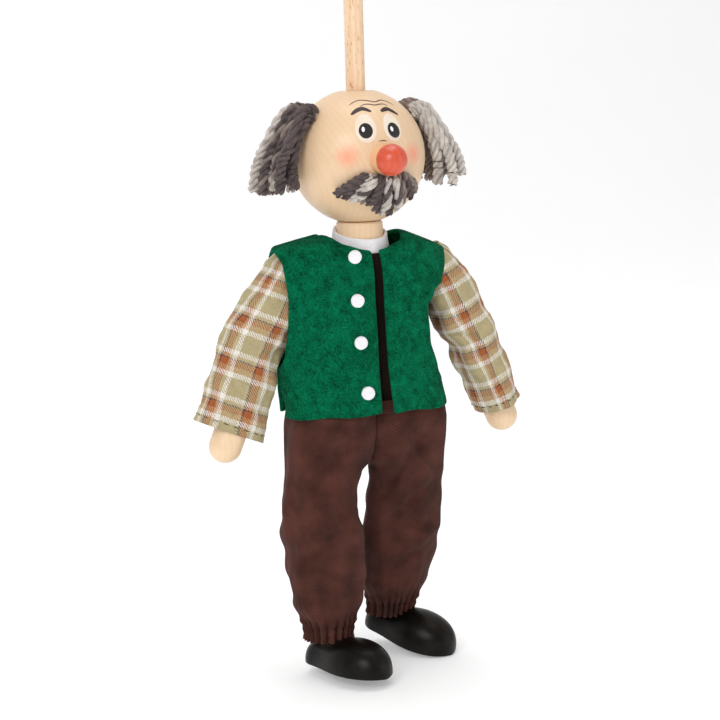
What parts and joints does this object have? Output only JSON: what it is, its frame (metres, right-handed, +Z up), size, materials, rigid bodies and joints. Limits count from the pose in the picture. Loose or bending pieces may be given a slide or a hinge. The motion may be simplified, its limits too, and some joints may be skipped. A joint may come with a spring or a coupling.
{
  "type": "craft stick puppet",
  "caption": "Jointed wooden doll hung on a wooden stick, with a ball head, yarn hair and moustache, felt vest, plaid sleeves, gathered trousers and painted shoes.",
  "frame": {"origin": "centre of the flat top end of the stick that the puppet hangs from", "axes": "+Z up along the stick, -Y the way the face looks, +X towards the figure's left hand"},
  "size_m": [0.1111, 0.0582, 0.3249],
  "materials": {
    "pale_wood": "sanded pale maple and beech, clear satin varnish",
    "red_paint": "thin red stain with the grain showing, satin",
    "black_paint": "satin black paint over turned wood",
    "steel": "drawn wire",
    "cord": "braided cotton cord, glued at the ends",
    "green_felt": "soft pressed wool felt",
    "white_felt": "soft pressed wool felt",
    "plaid_flannel": "brushed flannel with a woven plaid",
    "brown_twill": "dark brown cotton twill",
    "grey_yarn": "thick plied yarn in light and dark greys",
    "elastic": "thin elastic cord sewn in the trouser hem"
  },
  "bodies": {
    "shin_left": {"ankle_elastic_left": "elastic", "shin_left": "pale_wood", "shoe_left": "black_paint", "trouser_shin_left": "brown_twill"},
    "shin_right": {"ankle_elastic_right": "elastic", "shin_right": "pale_wood", "shoe_right": "black_paint", "trouser_shin_right": "brown_twill"},
    "upper_arm_left": {"arm_cord_left": "cord", "elbow_pin_left": "steel", "sleeve_upper_left": "plaid_flannel", "upper_arm_left": "pale_wood"},
    "upper_arm_right": {"arm_cord_right": "cord", "elbow_pin_right": "steel", "sleeve_upper_right": "plaid_flannel", "upper_arm_right": "pale_wood"},
    "torso": {"collar": "white_felt", "hip_pin": "steel", "hip_spacer_left": "pale_wood", "hip_spacer_right": "pale_wood", "neck_bush": "pale_wood", "pelvis_block": "pale_wood", "pelvis_dowel": "pale_wood", "shirt_body": "plaid_flannel", "shoulder_cord_left": "cord", "shoulder_cord_right": "cord", "torso_block": "pale_wood", "trouser_seat": "brown_twill", "vest_back": "green_felt", "vest_button_1": "white_felt", "vest_button_2": "white_felt", "vest_button_3": "white_felt", "vest_button_4": "white_felt", "vest_front_left": "green_felt", "vest_front_right": "green_felt"},
    "forearm_left": {"forearm_left": "pale_wood", "sleeve_lower_left": "plaid_flannel"},
    "forearm_right": {"forearm_right": "pale_wood", "sleeve_lower_right": "plaid_flannel"},
    "head": {"guide_stick": "pale_wood", "hair_tuft_left": "grey_yarn", "hair_tuft_right": "grey_yarn", "head_ball": "pale_wood", "moustache": "grey_yarn", "nose_bead": "red_paint", "nose_peg": "pale_wood", "stick_cross_pin": "steel"},
    "thigh_left": {"knee_pin_left": "steel", "thigh_left": "pale_wood", "trouser_thigh_left": "brown_twill"},
    "thigh_right": {"knee_pin_right": "steel", "thigh_right": "pale_wood", "trouser_thigh_right": "brown_twill"},
    "shoulder_link_left": {"shoulder_knot_left": "cord"},
    "shoulder_link_right": {"shoulder_knot_right": "cord"}
  },
  "joints": [
    {"name": "neck_turn", "type": "hinge", "parent": "head", "child": "torso", "pos_m": [0, 0, -0.19794], "axis": [0, 0, 1], "continuous": true},
    {"name": "shoulder_raise_right", "type": "hinge", "parent": "torso", "child": "shoulder_link_right", "pos_m": [-0.0255, 0, -0.19634], "axis": [0, 1, 0], "range_deg": [0, 50]},
    {"name": "shoulder_swing_right", "type": "hinge", "parent": "shoulder_link_right", "child": "upper_arm_right", "pos_m": [-0.0255, 0, -0.19634], "axis": [-1, 0, 0], "range_deg": [-25, 50]},
    {"name": "elbow_bend_right", "type": "hinge", "parent": "upper_arm_right", "child": "forearm_right", "pos_m": [-0.03683, 0, -0.22303], "axis": [-0.9205, 0, 0.3907], "range_deg": [0, 75]},
    {"name": "shoulder_raise_left", "type": "hinge", "parent": "torso", "child": "shoulder_link_left", "pos_m": [0.0255, 0, -0.19634], "axis": [0, -1, 0], "range_deg": [0, 50]},
    {"name": "shoulder_swing_left", "type": "hinge", "parent": "shoulder_link_left", "child": "upper_arm_left", "pos_m": [0.0255, 0, -0.19634], "axis": [-1, 0, 0], "range_deg": [-25, 50]},
    {"name": "elbow_bend_left", "type": "hinge", "parent": "upper_arm_left", "child": "forearm_left", "pos_m": [0.03753, 0, -0.22273], "axis": [-0.91, 0, -0.4147], "range_deg": [0, 75]},
    {"name": "hip_swing_right", "type": "hinge", "parent": "torso", "child": "thigh_right", "pos_m": [-0.0148, 0, -0.24334], "axis": [-1, 0, 0], "range_deg": [-25, 35]},
    {"name": "knee_bend_right", "type": "hinge", "parent": "thigh_right", "child": "shin_right", "pos_m": [-0.0148, 0, -0.27834], "axis": [1, 0, 0], "range_deg": [0, 75]},
    {"name": "hip_swing_left", "type": "hinge", "parent": "torso", "child": "thigh_left", "pos_m": [0.0148, 0, -0.24334], "axis": [-1, 0, 0], "range_deg": [-10.5, 49.5]},
    {"name": "knee_bend_left", "type": "hinge", "parent": "thigh_left", "child": "shin_left", "pos_m": [0.0148, 0.00876, -0.27722], "axis": [1, 0, 0], "range_deg": [0, 75]}
  ]
}
